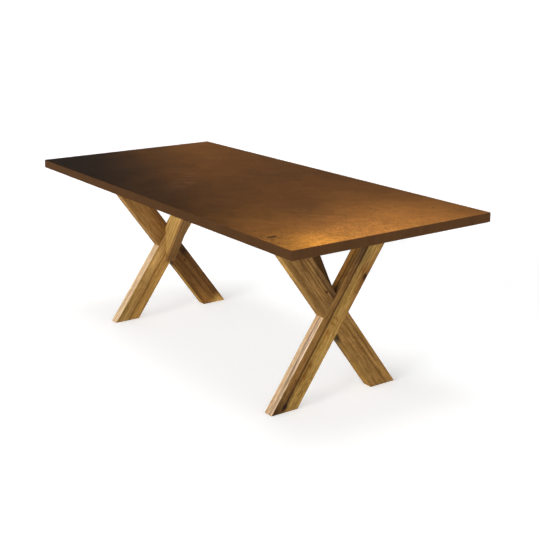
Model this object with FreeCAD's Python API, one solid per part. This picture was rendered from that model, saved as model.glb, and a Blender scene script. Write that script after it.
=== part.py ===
import FreeCAD, Part
import math
import os

# Sawbuck table: a sheet-faced top on two crossed leg frames, braced inwards to a rail under the top.
# Millimetres. X runs along the table, Y across it, Z up. The origin is on the floor under the middle.
# Front is the +X end and rear the -X end. A leg is called left or right after its foot, left being -Y.

# The whole table
table_length = 2000.0
table_width = 900.0
table_height = 740.0

# Table top
top_thickness = 36.0
face_sheet_thickness = 1.0
backing_sheet_thickness = 1.0
edge_band_thickness = 2.0

# Crossed leg frames
frame_spacing = 1280.0
foot_spread = 602.0
leg_width = 99.0
leg_thickness = 46.0
edge_ease = 1.5

# Glides under the feet
glide_thickness = 2.0
glide_margin = 8.0
glide_corner_radius = 6.0

# Cleats across the leg tops, and the rail between the cleats
cleat_overhang = 49.0
cleat_width = 60.0
cleat_height = 28.0
cleat_end_bevel = 10.0
rail_width = 60.0

# Mortise and tenon joints
tenon_length = 70.0
tenon_thickness = 20.0
tenon_height = 18.0
rail_tenon_length = 20.0
rail_tenon_width = 30.0
rail_tenon_height = 14.0
mortise_clearance = 0.2

# Pegs through the tenons, and dowels from the braces into the crossings
peg_diameter = 8.0
dowel_diameter = 12.0
dowel_depth_in_brace = 35.0
dowel_depth_in_legs = 40.0
dowel_spacing = 60.0
dowel_lift = 15.0
round_clearance = 0.1

# Bolts, washers and threaded inserts that hold the top
bolt_diameter = 8.0
bolt_length = 35.0
bolt_head_diameter = 13.0
bolt_head_height = 8.0
bolt_socket_width = 6.0
bolt_socket_depth = 4.0
socket_sides = 6
bolt_hole_diameter = 10.0
washer_diameter = 24.0
washer_thickness = 2.0
recess_diameter = 26.0
recess_depth = 12.0
insert_diameter = 12.0
insert_length = 20.0
insert_hole_depth = 22.0

# How far a cutting tool runs past the face that it opens
overrun = 5.0

# Levels
top_underside = table_height - top_thickness
core_underside = top_underside + backing_sheet_thickness
core_top = table_height - face_sheet_thickness
leg_top = top_underside - cleat_height
leg_bottom = glide_thickness
leg_rise = leg_top - leg_bottom
crossing_height = (leg_top + leg_bottom) / 2

# Slope of a leg whose two ends are cut level and whose outer corners stand foot_spread apart
half_spread = foot_spread / 2
leg_slope = math.atan2(leg_rise, foot_spread) + math.asin(leg_width / math.hypot(leg_rise, foot_spread))
foot_length = leg_width / math.sin(leg_slope)
leg_end_middle = half_spread - foot_length / 2

# A brace is cut from the same stock as the legs and rises at the same slope. Its plumb heel covers the
# crossing from the lower crotch to the upper one, and its level head meets the rail.
frame_middle = frame_spacing / 2
heel_face = frame_middle - leg_thickness / 2
heel_length = leg_width / math.cos(leg_slope)
brace_run = (leg_top - crossing_height) / math.tan(leg_slope)
head_middle = heel_face - brace_run
head_inner_end = head_middle - foot_length / 2

frame_ends = {"front": 1, "rear": -1}
leg_sides = {"left": -1, "right": 1}


def box_between(low, high):
    """A box from its lowest corner to its highest corner."""
    size = high - low
    return Part.makeBox(size.x, size.y, size.z, low)


def centred_box(middle, size):
    """A box of the given size about its middle point."""
    return box_between(middle - size / 2, middle + size / 2)


def prism(points, direction):
    """A solid swept along a straight direction from a flat outline."""
    outline = Part.makePolygon(points + points[:1])
    return Part.Face(outline).extrude(direction)


def upright_cylinder(diameter, x, y, z_low, z_high):
    """A cylinder that stands on z_low and reaches z_high."""
    return Part.makeCylinder(diameter / 2, z_high - z_low, FreeCAD.Vector(x, y, z_low))


def edges_along(shape, direction):
    """The straight edges of a shape that run along a unit direction."""
    def turn(edge):
        return edge.tangentAt(edge.FirstParameter).cross(direction).Length
    return [edge for edge in shape.Edges if turn(edge) < Part.Precision.approximation()]


def eased_beam(beam, direction):
    """A beam with the edges along its length chamfered."""
    return beam.makeChamfer(edge_ease, edges_along(beam, direction))


def tenon(middle_x, middle_y, along, grow):
    """An upright tenon on a level shoulder at the leg tops. Its mortise is the same block, grown.

    along is the unit direction of its long side, and grow is added on every free face.
    """
    across = FreeCAD.Vector(along.y, along.x, 0)
    size = along * (tenon_length + 2 * grow) + across * (tenon_thickness + 2 * grow)
    height = tenon_height + grow
    size.z = height
    return centred_box(FreeCAD.Vector(middle_x, middle_y, leg_top + height / 2), size)


def leg_outline(side, x):
    """Corner points of a leg in the upright plane at x, from the outside of its foot round to its top."""
    inner = half_spread - foot_length
    corners = [(half_spread, leg_bottom), (inner, leg_bottom), (-half_spread, leg_top), (-inner, leg_top)]
    return [FreeCAD.Vector(x, side * y, z) for y, z in corners]


def plain_leg(side, end):
    """A leg before it is eased, lapped or tenoned."""
    low_x = end * frame_middle - leg_thickness / 2
    return prism(leg_outline(side, low_x), FreeCAD.Vector(leg_thickness, 0, 0))


def lap_half(side, end):
    """The half of a frame's thickness that a leg loses at the crossing: left legs keep the +X half."""
    plane = end * frame_middle
    outer = plane + side * (leg_thickness / 2 + overrun)
    reach = half_spread + overrun
    low = FreeCAD.Vector(min(plane, outer), -reach, leg_bottom - overrun)
    high = FreeCAD.Vector(max(plane, outer), reach, leg_top + overrun)
    return box_between(low, high)


def crossing_dowel(end, lift, grow):
    """A dowel from a brace's heel through the lapped legs, or its bore when grown."""
    inward = dowel_depth_in_brace + grow
    outward = dowel_depth_in_legs + grow
    start = FreeCAD.Vector(end * (heel_face - inward), 0, crossing_height + lift)
    return Part.makeCylinder(dowel_diameter / 2 + grow, inward + outward, start, FreeCAD.Vector(end, 0, 0))


def crossing_dowels(end, grow):
    """The two dowels of one crossing, one above the other."""
    return [crossing_dowel(end, dowel_lift + step * dowel_spacing / 2, grow) for step in (-1, 1)]


def tenon_peg(x, y, direction, length, grow):
    """A peg that runs level through a tenon and both cheeks of its mortise."""
    middle = FreeCAD.Vector(x, y, leg_top + tenon_height / 2)
    return Part.makeCylinder(peg_diameter / 2 + grow, length, middle - direction * (length / 2), direction)


def leg_peg(side, end, grow):
    """The peg at the top of a leg, along X through the cleat."""
    return tenon_peg(end * frame_middle, -side * leg_end_middle, FreeCAD.Vector(1, 0, 0), cleat_width, grow)


def brace_peg(end, grow):
    """The peg at the head of a brace, along Y through the rail."""
    return tenon_peg(end * head_middle, 0, FreeCAD.Vector(0, 1, 0), rail_width, grow)


def leg_tenon(side, end, grow):
    """The tenon of a leg, which stands over the middle of its level top."""
    return tenon(end * frame_middle, -side * leg_end_middle, FreeCAD.Vector(0, 1, 0), grow)


def brace_tenon(end, grow):
    """The tenon of a brace, which stands over the middle of its level head."""
    return tenon(end * head_middle, 0, FreeCAD.Vector(1, 0, 0), grow)


def rail_tenon(end, grow):
    """The stub tenon at one end of the rail, which enters the cleat."""
    shoulder = frame_middle - cleat_width / 2
    length = rail_tenon_length + grow
    middle = FreeCAD.Vector(end * (shoulder + length / 2), 0, leg_top + cleat_height / 2)
    size = FreeCAD.Vector(length, rail_tenon_width + 2 * grow, rail_tenon_height + 2 * grow)
    return centred_box(middle, size)


def leg(side, end):
    """A finished leg: eased edges, half lap at the crossing, tenon on top, bored for dowels and peg."""
    rise = FreeCAD.Vector(0, -side * math.cos(leg_slope), math.sin(leg_slope))
    beam = eased_beam(plain_leg(side, end), rise)
    lap = plain_leg(-side, end).common(lap_half(side, end))
    beam = beam.cut(lap).fuse(leg_tenon(side, end, 0)).removeSplitter()
    return beam.cut(crossing_dowels(end, round_clearance) + [leg_peg(side, end, round_clearance)])


def brace(end):
    """A finished brace: plumb heel on the crossing, level head with a tenon, eased edges."""
    heel_low = crossing_height - heel_length / 2
    outline = [
        (heel_face, heel_low),
        (heel_face, heel_low + heel_length),
        (head_middle + foot_length / 2, leg_top),
        (head_middle - foot_length / 2, leg_top),
    ]
    points = [FreeCAD.Vector(end * x, -leg_thickness / 2, z) for x, z in outline]
    rise = FreeCAD.Vector(-end * math.cos(leg_slope), 0, math.sin(leg_slope))
    beam = eased_beam(prism(points, FreeCAD.Vector(0, leg_thickness, 0)), rise)
    beam = beam.fuse(brace_tenon(end, 0)).removeSplitter()
    return beam.cut(crossing_dowels(end, round_clearance) + [brace_peg(end, round_clearance)])


def bolt_places():
    """Where the top is bolted: four bolts through each cleat and three through the rail."""
    outer_y = half_spread + cleat_overhang / 2
    inner_y = (rail_width / 2 + half_spread - foot_length) / 2
    across = (-outer_y, -inner_y, inner_y, outer_y)
    cleat_places = [(end * frame_middle, y) for end in frame_ends.values() for y in across]
    return cleat_places + [(step * head_inner_end / 2, 0) for step in (-1, 0, 1)]


def bolt_bore(x, y):
    """The hole for one bolt through a cleat or the rail, with the recess that hides its head."""
    recess = upright_cylinder(recess_diameter, x, y, leg_top - overrun, leg_top + recess_depth)
    return recess.fuse(upright_cylinder(bolt_hole_diameter, x, y, leg_top, top_underside + overrun))


def bolt_bores(inside):
    """The bolt holes whose place is inside a given test."""
    return [bolt_bore(x, y) for x, y in bolt_places() if inside(x, y)]


def cleat(end):
    """A cleat: mortised for two legs and the rail, bored for pegs and bolts, bevelled under its ends."""
    low_x = end * frame_middle - cleat_width / 2
    half_length = half_spread + cleat_overhang
    outline = [
        (-half_length, top_underside),
        (half_length, top_underside),
        (half_length, leg_top + cleat_end_bevel),
        (half_length - cleat_end_bevel, leg_top),
        (-half_length + cleat_end_bevel, leg_top),
        (-half_length, leg_top + cleat_end_bevel),
    ]
    block = prism([FreeCAD.Vector(low_x, y, z) for y, z in outline], FreeCAD.Vector(cleat_width, 0, 0))
    sides = leg_sides.values()
    mortises = [leg_tenon(side, end, mortise_clearance) for side in sides]
    mortises.append(rail_tenon(end, mortise_clearance))
    pegs = [leg_peg(side, end, round_clearance) for side in sides]
    return block.cut(mortises + pegs + bolt_bores(lambda x, y: y != 0 and x * end > 0))


def centre_rail():
    """The rail along the middle: stub tenons into the cleats, mortises for the two brace heads."""
    half_length = frame_middle - cleat_width / 2
    low = FreeCAD.Vector(-half_length, -rail_width / 2, leg_top)
    beam = box_between(low, FreeCAD.Vector(half_length, rail_width / 2, top_underside))
    ends = frame_ends.values()
    beam = beam.fuse([rail_tenon(end, 0) for end in ends]).removeSplitter()
    mortises = [brace_tenon(end, mortise_clearance) for end in ends]
    pegs = [brace_peg(end, round_clearance) for end in ends]
    return beam.cut(mortises + pegs + bolt_bores(lambda x, y: y == 0))


def edge_bands():
    """The four bands round the top, mitred at the corners, under the rim of the face sheet."""
    half_length = table_length / 2
    half_width = table_width / 2
    height = FreeCAD.Vector(0, 0, core_top - top_underside)
    corner_signs = [(1, -1), (1, 1), (-1, 1), (-1, -1)]
    bands = {}
    for index, name in enumerate(("front", "right", "rear", "left")):
        ends = (corner_signs[index], corner_signs[(index + 1) % len(corner_signs)])
        outer = [FreeCAD.Vector(a * half_length, b * half_width, top_underside) for a, b in ends]
        inset = [FreeCAD.Vector(a * edge_band_thickness, b * edge_band_thickness, 0) for a, b in ends]
        inner = [point - step for point, step in zip(outer, inset)]
        bands["edge_band_" + name] = prism(outer + inner[::-1], height)
    return bands


def top_layer(inset, low_z, high_z):
    """A flat layer of the top, set in from its outline."""
    half_length = table_length / 2 - inset
    half_width = table_width / 2 - inset
    low = FreeCAD.Vector(-half_length, -half_width, low_z)
    return box_between(low, FreeCAD.Vector(half_length, half_width, high_z))


def core_board():
    """The core board, bored from below for the threaded inserts."""
    board = top_layer(edge_band_thickness, core_underside, core_top)
    width = insert_diameter + 2 * round_clearance
    depth = core_underside + insert_hole_depth
    return board.cut([upright_cylinder(width, x, y, top_underside, depth) for x, y in bolt_places()])


def backing_sheet():
    """The sheet under the core, pierced where the inserts go in."""
    sheet = top_layer(edge_band_thickness, top_underside, core_underside)
    width = insert_diameter + 2 * round_clearance
    low_z = top_underside - overrun
    return sheet.cut([upright_cylinder(width, x, y, low_z, core_top) for x, y in bolt_places()])


def threaded_insert(x, y):
    """A threaded sleeve, flush with the underside of the core."""
    high_z = core_underside + insert_length
    sleeve = upright_cylinder(insert_diameter, x, y, core_underside, high_z)
    bore_diameter = bolt_diameter + 2 * round_clearance
    return sleeve.cut(upright_cylinder(bore_diameter, x, y, top_underside, high_z + overrun))


def washer(x, y):
    """A washer against the roof of the bolt's recess."""
    roof = leg_top + recess_depth
    ring = upright_cylinder(washer_diameter, x, y, roof - washer_thickness, roof)
    return ring.cut(upright_cylinder(bolt_hole_diameter, x, y, leg_top, top_underside))


def top_bolt(x, y):
    """A cap-head bolt with a six-sided socket, seated on its washer."""
    seat = leg_top + recess_depth - washer_thickness
    head_low = seat - bolt_head_height
    body = upright_cylinder(bolt_head_diameter, x, y, head_low, seat)
    body = body.fuse(upright_cylinder(bolt_diameter, x, y, head_low, seat + bolt_length)).removeSplitter()
    corner_reach = FreeCAD.Vector(bolt_socket_width / 2 / math.cos(math.pi / socket_sides), 0, 0)
    turn = FreeCAD.Rotation(FreeCAD.Vector(0, 0, 1), 360 / socket_sides)
    middle = FreeCAD.Vector(x, y, head_low - overrun)
    hexagon = []
    for _ in range(socket_sides):
        hexagon.append(middle + corner_reach)
        corner_reach = turn.multVec(corner_reach)
    return body.cut(prism(hexagon, FreeCAD.Vector(0, 0, bolt_socket_depth + overrun)))


def foot_glide(side, end):
    """A thin pad under one foot, set in from the edges of the foot."""
    size = FreeCAD.Vector(leg_thickness - 2 * glide_margin, foot_length - 2 * glide_margin, glide_thickness)
    pad = centred_box(FreeCAD.Vector(end * frame_middle, side * leg_end_middle, glide_thickness / 2), size)
    return pad.makeFillet(glide_corner_radius, edges_along(pad, FreeCAD.Vector(0, 0, 1)))


def build_nodes():
    """Every piece of the table by name. Identical fasteners share one node."""
    nodes = {
        "top_face_sheet": top_layer(0, core_top, table_height),
        "top_core_board": core_board(),
        "top_backing_sheet": backing_sheet(),
        "centre_rail": centre_rail(),
    }
    nodes.update(edge_bands())
    for end_name, end in frame_ends.items():
        for side_name, side in leg_sides.items():
            nodes[end_name + "_leg_" + side_name] = leg(side, end)
        nodes[end_name + "_brace"] = brace(end)
        nodes[end_name + "_cleat"] = cleat(end)
    ends = frame_ends.values()
    feet = [(side, end) for end in ends for side in leg_sides.values()]
    groups = {
        "foot_glides": [foot_glide(side, end) for side, end in feet],
        "crossing_dowels": [dowel for end in ends for dowel in crossing_dowels(end, 0)],
        "tenon_pegs": [leg_peg(side, end, 0) for side, end in feet] + [brace_peg(end, 0) for end in ends],
        "top_bolts": [top_bolt(x, y) for x, y in bolt_places()],
        "bolt_washers": [washer(x, y) for x, y in bolt_places()],
        "threaded_inserts": [threaded_insert(x, y) for x, y in bolt_places()],
    }
    nodes.update({name: Part.makeCompound(solids) for name, solids in groups.items()})
    return nodes


os.makedirs("parts", exist_ok=True)
for node_name, node_shape in build_nodes().items():
    node_shape.exportStep("parts/" + node_name + ".step")
    print(node_name, "solids:", len(node_shape.Solids), "valid:", node_shape.isValid())
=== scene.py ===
"""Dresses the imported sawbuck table: a patinated sheet top on crossed oak legs, in a plain pale studio.

Metres, in the frame of the solids: X along the table, Y across it, Z up, with the origin on the floor
under the middle. Front is the +X end, and a leg is called left or right after its foot, left being -Y.
"""

import logging
import math
from dataclasses import dataclass
from enum import Enum
from typing import Any, Union

import bpy
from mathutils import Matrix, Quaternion, Vector

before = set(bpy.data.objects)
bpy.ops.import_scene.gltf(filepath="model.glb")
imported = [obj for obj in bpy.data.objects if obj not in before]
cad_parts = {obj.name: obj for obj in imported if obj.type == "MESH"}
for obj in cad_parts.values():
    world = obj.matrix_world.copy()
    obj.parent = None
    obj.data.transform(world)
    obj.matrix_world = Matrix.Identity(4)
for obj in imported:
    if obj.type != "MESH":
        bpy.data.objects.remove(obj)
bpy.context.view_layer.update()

log = logging.getLogger("sawbuck_table")

Triple = tuple[float, float, float]
Socket = bpy.types.NodeSocket
Amount = Union[float, "Reading"]
Paint = Union["Tone", "Tint", Socket]

# Sizes of the table that the finishes are laid out by
FRAME_X = 0.64
CROSSING_HEIGHT = 0.339
LEG_SLOPE = math.radians(54.52)
LEG_HALF_WIDTH = 0.0495
TOP_LEVEL = 0.74

# Where a beam's colour starts and stops turning to that of its narrow side, in from the corner
TURN_START = 0.0012
TURN_END = 0.0006

# How far a glued joint is blurred, how far a dark line tapers, and how far a leg's colour takes to change
JOINT_BLUR = 0.0025
LINE_TAPER = 0.02
CLIMB_REACH = 0.12


@dataclass(frozen=True)
class Tone:
    """A colour as it looks on a screen, each part from 0 to 255."""

    red: float
    green: float
    blue: float

    def linear(self) -> tuple[float, float, float, float]:
        """Turns the colour into linear light.

        Returns:
            Its red, green and blue, with full alpha.
        """
        shares = (self.red / 255.0, self.green / 255.0, self.blue / 255.0)
        parts = [c / 12.92 if c <= 0.04045 else ((c + 0.055) / 1.055) ** 2.4 for c in shares]
        return (parts[0], parts[1], parts[2], 1.0)


@dataclass(frozen=True)
class Tint:
    """How much of each part of a colour is kept, where more than 1 makes it lighter."""

    red: float
    green: float
    blue: float

    def linear(self) -> tuple[float, float, float, float]:
        """Returns the three shares with full alpha."""
        return (self.red, self.green, self.blue, 1.0)


# A tint that changes nothing, and the turn of a beam that lies square
EVEN = Tint(1.0, 1.0, 1.0)
UNTURNED = (0.0, 0.0, 0.0)


class Reading:
    """A number that changes over a surface, with arithmetic that adds Math nodes to its bench."""

    def __init__(self, bench: "Bench", socket: Socket) -> None:
        """Keeps the output socket that the number comes from.

        Args:
            bench: The node tree that the socket is in.
            socket: The output socket.
        """
        self.bench = bench
        self.socket = socket

    def __add__(self, other: Amount) -> "Reading":
        """Returns the sum of the two."""
        return self.bench.maths("ADD", self, other)

    def __radd__(self, other: Amount) -> "Reading":
        """Returns the sum of the two."""
        return self.bench.maths("ADD", other, self)

    def __sub__(self, other: Amount) -> "Reading":
        """Returns this number less the other."""
        return self.bench.maths("SUBTRACT", self, other)

    def __rsub__(self, other: Amount) -> "Reading":
        """Returns the other number less this one."""
        return self.bench.maths("SUBTRACT", other, self)

    def __mul__(self, other: Amount) -> "Reading":
        """Returns the product of the two."""
        return self.bench.maths("MULTIPLY", self, other)

    def __rmul__(self, other: Amount) -> "Reading":
        """Returns the product of the two."""
        return self.bench.maths("MULTIPLY", other, self)

    def __truediv__(self, other: Amount) -> "Reading":
        """Returns this number divided by the other."""
        return self.bench.maths("DIVIDE", self, other)

    def __pow__(self, other: Amount) -> "Reading":
        """Returns this number raised to the other."""
        return self.bench.maths("POWER", self, other)

    def size(self) -> "Reading":
        """Returns the number without its sign."""
        return self.bench.maths("ABSOLUTE", self)

    def wave(self) -> "Reading":
        """Returns the sine of the number."""
        return self.bench.maths("SINE", self)

    def root(self) -> "Reading":
        """Returns the square root of the number."""
        return self.bench.maths("SQRT", self)

    def at_most(self, other: Amount) -> "Reading":
        """Returns the smaller of the two."""
        return self.bench.maths("MINIMUM", self, other)

    def at_least(self, other: Amount) -> "Reading":
        """Returns the larger of the two."""
        return self.bench.maths("MAXIMUM", self, other)

    def fade(self, start: float, end: float) -> "Reading":
        """Eases from 0 where the number is start to 1 where it is end.

        Args:
            start: The number that gives 0.
            end: The number that gives 1, which may be below start.

        Returns:
            The eased share, from 0 to 1.
        """
        rising = start < end
        node = self.bench.add(
            "ShaderNodeMapRange",
            {"interpolation_type": "SMOOTHSTEP"},
            {
                0: self,
                1: min(start, end),
                2: max(start, end),
                3: 0.0 if rising else 1.0,
                4: 1.0 if rising else 0.0,
            },
        )
        return Reading(self.bench, node.outputs[0])


class Blend(Enum):
    """A way of blending two colours, by Blender's name for it."""

    MIX = "MIX"
    ADD = "ADD"
    TAKE = "SUBTRACT"
    TINT = "MULTIPLY"


class Bench:
    """The node tree of one material or world, laid out by adding nodes."""

    def __init__(self, tree: bpy.types.NodeTree) -> None:
        """Clears the tree.

        Args:
            tree: The node tree to lay out.
        """
        self.tree = tree
        tree.nodes.clear()

    def join(self, socket: Socket, value: Any) -> None:
        """Links a socket to a reading or an output, or sets its own value.

        Args:
            socket: The input socket.
            value: A Reading, an output socket, a Tone, a Tint, or a plain value.
        """
        if isinstance(value, Reading):
            self.tree.links.new(value.socket, socket)
        elif isinstance(value, Socket):
            self.tree.links.new(value, socket)
        elif isinstance(value, (Tone, Tint)):
            socket.default_value = value.linear()
        else:
            socket.default_value = value

    def add(self, kind: str, settings: dict[str, Any], sockets: dict[Any, Any]) -> bpy.types.Node:
        """Adds one node.

        Args:
            kind: The node's type.
            settings: The node's own settings, which are set first.
            sockets: Values or links by the input's name or number.

        Returns:
            The new node.
        """
        node = self.tree.nodes.new(kind)
        for name, value in settings.items():
            setattr(node, name, value)
        for key, value in sockets.items():
            self.join(node.inputs[key], value)
        return node

    def maths(self, operation: str, *values: Amount) -> Reading:
        """Adds a Math node.

        Args:
            operation: What the node works out.
            values: The numbers or readings that it takes.

        Returns:
            What comes out.
        """
        node = self.add("ShaderNodeMath", {"operation": operation}, dict(enumerate(values)))
        return Reading(self, node.outputs[0])

    def vector_maths(self, operation: str, *values: Any) -> Socket:
        """Adds a Vector Math node.

        Args:
            operation: What the node works out.
            values: The places or triples that it takes.

        Returns:
            The place that comes out, or the number of a dot product.
        """
        node = self.add("ShaderNodeVectorMath", {"operation": operation}, dict(enumerate(values)))
        return node.outputs["Value" if operation == "DOT_PRODUCT" else "Vector"]

    def place(self) -> Socket:
        """Returns the place on the piece, in its own coordinates."""
        return self.add("ShaderNodeTexCoord", {}, {}).outputs["Object"]

    def seen_from(
        self, vector: Socket, centre: Triple, turn: Triple, reach: Triple = (1.0, 1.0, 1.0)
    ) -> Socket:
        """Gives a place in other axes.

        Args:
            vector: The place.
            centre: The middle of the axes.
            turn: Their turn about X, Y and Z.
            reach: The length that counts as 1 on each of them.

        Returns:
            The place in those axes.
        """
        sockets = {"Vector": vector, "Location": centre, "Rotation": turn, "Scale": reach}
        return self.add("ShaderNodeMapping", {"vector_type": "TEXTURE"}, sockets).outputs[0]

    def parts(self, vector: Socket) -> tuple[Reading, Reading, Reading]:
        """Splits a place into its three numbers.

        Args:
            vector: The place.

        Returns:
            Its X, Y and Z.
        """
        node = self.add("ShaderNodeSeparateXYZ", {}, {0: vector})
        x, y, z = (Reading(self, output) for output in node.outputs)
        return x, y, z

    def stretched(self, vector: Socket, scale: Triple, shift: float) -> Socket:
        """Stretches a place, so that a pattern on it runs long in one direction.

        Args:
            vector: The place.
            scale: How often the pattern repeats in each direction, per metre.
            shift: How far the pattern is moved, so that two pieces differ.

        Returns:
            The stretched place.
        """
        return self.vector_maths("MULTIPLY_ADD", vector, scale, (shift, shift * 1.7, shift * 2.3))

    def noise(
        self,
        vector: Socket,
        scale: float = 1.0,
        detail: float = 3.0,
        rough: float = 0.5,
        swirl: float = 0.0,
    ) -> Reading:
        """Adds a noise pattern.

        Args:
            vector: The place that it is read at.
            scale: Its scale.
            detail: How many finer layers it has.
            rough: How strong the finer layers are.
            swirl: How much it is distorted.

        Returns:
            The pattern, from 0 to 1 and mostly near a half.
        """
        sockets = {
            "Vector": vector,
            "Scale": scale,
            "Detail": detail,
            "Roughness": rough,
            "Distortion": swirl,
        }
        return Reading(self, self.add("ShaderNodeTexNoise", {}, sockets).outputs[0])

    def spots(self, vector: Socket, scale: float) -> tuple[Reading, Reading]:
        """Adds scattered spots, one to a cell of the level plane.

        Args:
            vector: The place that they are read at.
            scale: How many cells there are to a metre.

        Returns:
            The distance to the nearest spot's middle in cells, and a number that is the spot's own.
        """
        settings = {"voronoi_dimensions": "2D"}
        node = self.add("ShaderNodeTexVoronoi", settings, {"Vector": vector, "Scale": scale})
        own = self.add("ShaderNodeSeparateColor", {}, {0: node.outputs["Color"]})
        return Reading(self, node.outputs["Distance"]), Reading(self, own.outputs[0])

    def drifted(self, vector: Socket, scale: Triple, shift: float, amount: Triple) -> Socket:
        """Moves a place to and fro, so that what is drawn on it has wandering edges.

        Args:
            vector: The place.
            scale: How often it wanders in each direction, per metre.
            shift: How far the wandering is moved, so that two pieces differ.
            amount: How far it wanders in each direction, in metres.

        Returns:
            The moved place.
        """
        sockets = {"Vector": self.stretched(vector, scale, shift), "Scale": 1.0, "Detail": 3.0}
        wander = self.add("ShaderNodeTexNoise", {}, sockets).outputs["Color"]
        moved = self.vector_maths("MULTIPLY_ADD", wander, amount, vector)
        return self.vector_maths("ADD", moved, tuple(-0.5 * part for part in amount))

    def patch(self, vector: Socket, centre: Triple, reach: Triple, turn: float = 0.0) -> Reading:
        """Gives a soft round patch.

        Args:
            vector: The place that it is read at.
            centre: Its middle.
            reach: How far it reaches in each direction.
            turn: Its turn about Z.

        Returns:
            1 in the middle, fading to 0.
        """
        local = self.seen_from(vector, centre, (0.0, 0.0, turn), reach)
        square = Reading(self, self.vector_maths("DOT_PRODUCT", local, local))
        return self.maths("EXPONENT", square * -1.0)

    def blend(self, share: Amount, first: Paint, second: Paint, how: Blend = Blend.MIX) -> Socket:
        """Blends two colours.

        Args:
            share: How much of the second colour there is.
            first: The first colour.
            second: The second colour.
            how: The way of blending.

        Returns:
            The blended colour.
        """
        settings = {"data_type": "RGBA", "blend_type": how.value}
        return self.add("ShaderNodeMix", settings, {0: share, 6: first, 7: second}).outputs[2]

    def tinted(self, colour: Paint, tint: Paint, share: Amount = 1.0) -> Socket:
        """Multiplies a colour by a tint.

        Args:
            colour: The colour.
            tint: What is kept of each part of it.
            share: How much of the tint shows.

        Returns:
            The tinted colour.
        """
        return self.blend(share, colour, tint, Blend.TINT)

    def mottled(self, tone: Tone, first: Reading, second: Reading, dark: Tint, light: Tint) -> Socket:
        """Makes a colour lighter and darker by two patterns in equal shares.

        Args:
            tone: The colour.
            first: One pattern.
            second: The other pattern.
            dark: What the darkest places keep of the colour.
            light: What the lightest places keep of it.

        Returns:
            The mottled colour.
        """
        share = first.fade(0.3, 0.7) * 0.5 + second.fade(0.3, 0.7) * 0.5
        return self.tinted(tone, self.blend(share, dark, light))

    def relief(self, height: Reading, strength: float, depth: float) -> Socket:
        """Turns a height into a bumpy surface.

        Args:
            height: The height, from 0 to 1.
            strength: How strongly it shows.
            depth: The depth in metres of a height of 1.

        Returns:
            The bent normal.
        """
        sockets = {"Height": height, "Strength": strength, "Distance": depth}
        return self.add("ShaderNodeBump", {}, sockets).outputs[0]

    def surface(self, sockets: dict[str, Any]) -> None:
        """Ends a material in a Principled shader.

        Args:
            sockets: Values or links of the shader's sockets, by name.
        """
        shader = self.add("ShaderNodeBsdfPrincipled", {}, sockets)
        self.add("ShaderNodeOutputMaterial", {}, {"Surface": shader.outputs[0]})


def new_bench(name: str) -> tuple[bpy.types.Material, Bench]:
    """Makes an empty material.

    Args:
        name: The material's name.

    Returns:
        The material and the bench for its nodes.
    """
    material = bpy.data.materials.new(name)
    material.use_nodes = True
    return material, Bench(material.node_tree)


class GrainRun(Enum):
    """The beam's own axis that its timber's grain runs along."""

    ALONG_X = 0
    ALONG_Y = 1

    def axes(self, along: float, thick: float, across: float) -> Triple:
        """Puts three numbers in the order of the beam's own axes.

        Args:
            along: The number along the grain.
            thick: The number through the beam.
            across: The number across its wide face.

        Returns:
            The numbers on X, Y and Z.
        """
        return (along, thick, across) if self is GrainRun.ALONG_X else (thick, along, across)


@dataclass(frozen=True)
class Stave:
    """One strip of a glued-up beam: where across the wide face it ends, and its colour."""

    ends: float
    tone: Tone


@dataclass(frozen=True)
class DarkLine:
    """A dark line along a beam: its place at the middle, its drift, width and depth, and its two ends."""

    place: float
    drift: float = 0.0
    width: float = 0.003
    depth: float = 0.6
    low: float = -1.0
    high: float = 1.0

    def strength(self, off: Reading, along: Reading) -> Reading:
        """Tells how strong the line is at a place.

        Args:
            off: How far the place is from the line's middle.
            along: The place along the beam.

        Returns:
            The line's share there.
        """
        start = along.fade(self.low - LINE_TAPER, self.low + LINE_TAPER)
        end = along.fade(self.high + LINE_TAPER, self.high - LINE_TAPER)
        return off.fade(self.width, self.width * 0.2) * start * end * self.depth


@dataclass(frozen=True)
class StainAndPaintedLight:
    """A soft tinted patch in a beam: its place and its reach along, across and through it, and its tint.
    Some are stains in the wood; others are painted shade at the feet, in the crossings and under the top,
    painted shadow of the braces, or painted highlight.
    """

    along: float
    across: float
    reach_along: float
    reach_across: float
    tint: Tint
    thick: float = 0.0
    reach_thick: float = 1.0


@dataclass(frozen=True)
class Knot:
    """A knot on the wide face: its place along and across the beam, its radius, and how dark it is."""

    along: float
    across: float
    radius: float
    depth: float = 0.8


@dataclass(frozen=True)
class SideTone:
    """The colour of a beam's narrow side, in its lower half and in its upper half. On the legs' upper sides
    the lower half is lighter partly as painted light, and the upper half darker partly as painted shade
    under the top; on the front brace both halves are painted shade.
    """

    low: Tone
    high: Tone


@dataclass(frozen=True)
class Pattern:
    """A pattern drawn out along the grain: its repeats per metre, its shift, its layers and its swirl."""

    along: float
    across: float
    shift: float
    detail: float
    swirl: float = 0.0


# The patterns of the oak
BROAD = Pattern(1.1, 24.0, 0.0, 3.0)
STREAK = Pattern(5.0, 130.0, 3.1, 4.0, 0.5)
FINE = Pattern(17.0, 260.0, 5.3, 3.0, 0.4)
FLECK = Pattern(60.0, 170.0, 8.8, 2.0)
PORE = Pattern(34.0, 420.0, 7.7, 1.0)
RING = Pattern(1.3, 42.0, 11.5, 2.0)
LOOP = Pattern(7.0, 17.0, 9.2, 2.0)

# How strong the grain is, how close its rings and loops lie, and how far a knot is drawn out
GRAIN_SWING = 0.38
RING_TURNS = 34.0
LOOP_TURNS = 75.0
KNOT_SQUEEZE = 0.62

# What the dark figures in the oak keep of its colour
PORE_TINT = Tint(0.5, 0.44, 0.36)
RING_TINT = Tint(0.55, 0.47, 0.38)
LOOP_TINT = Tint(0.62, 0.5, 0.36)
LINE_TINT = Tint(0.24, 0.19, 0.16)
SEAM_TINT = Tint(0.2, 0.18, 0.18)
KNOT_TINT = Tint(0.2, 0.15, 0.12)


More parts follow.
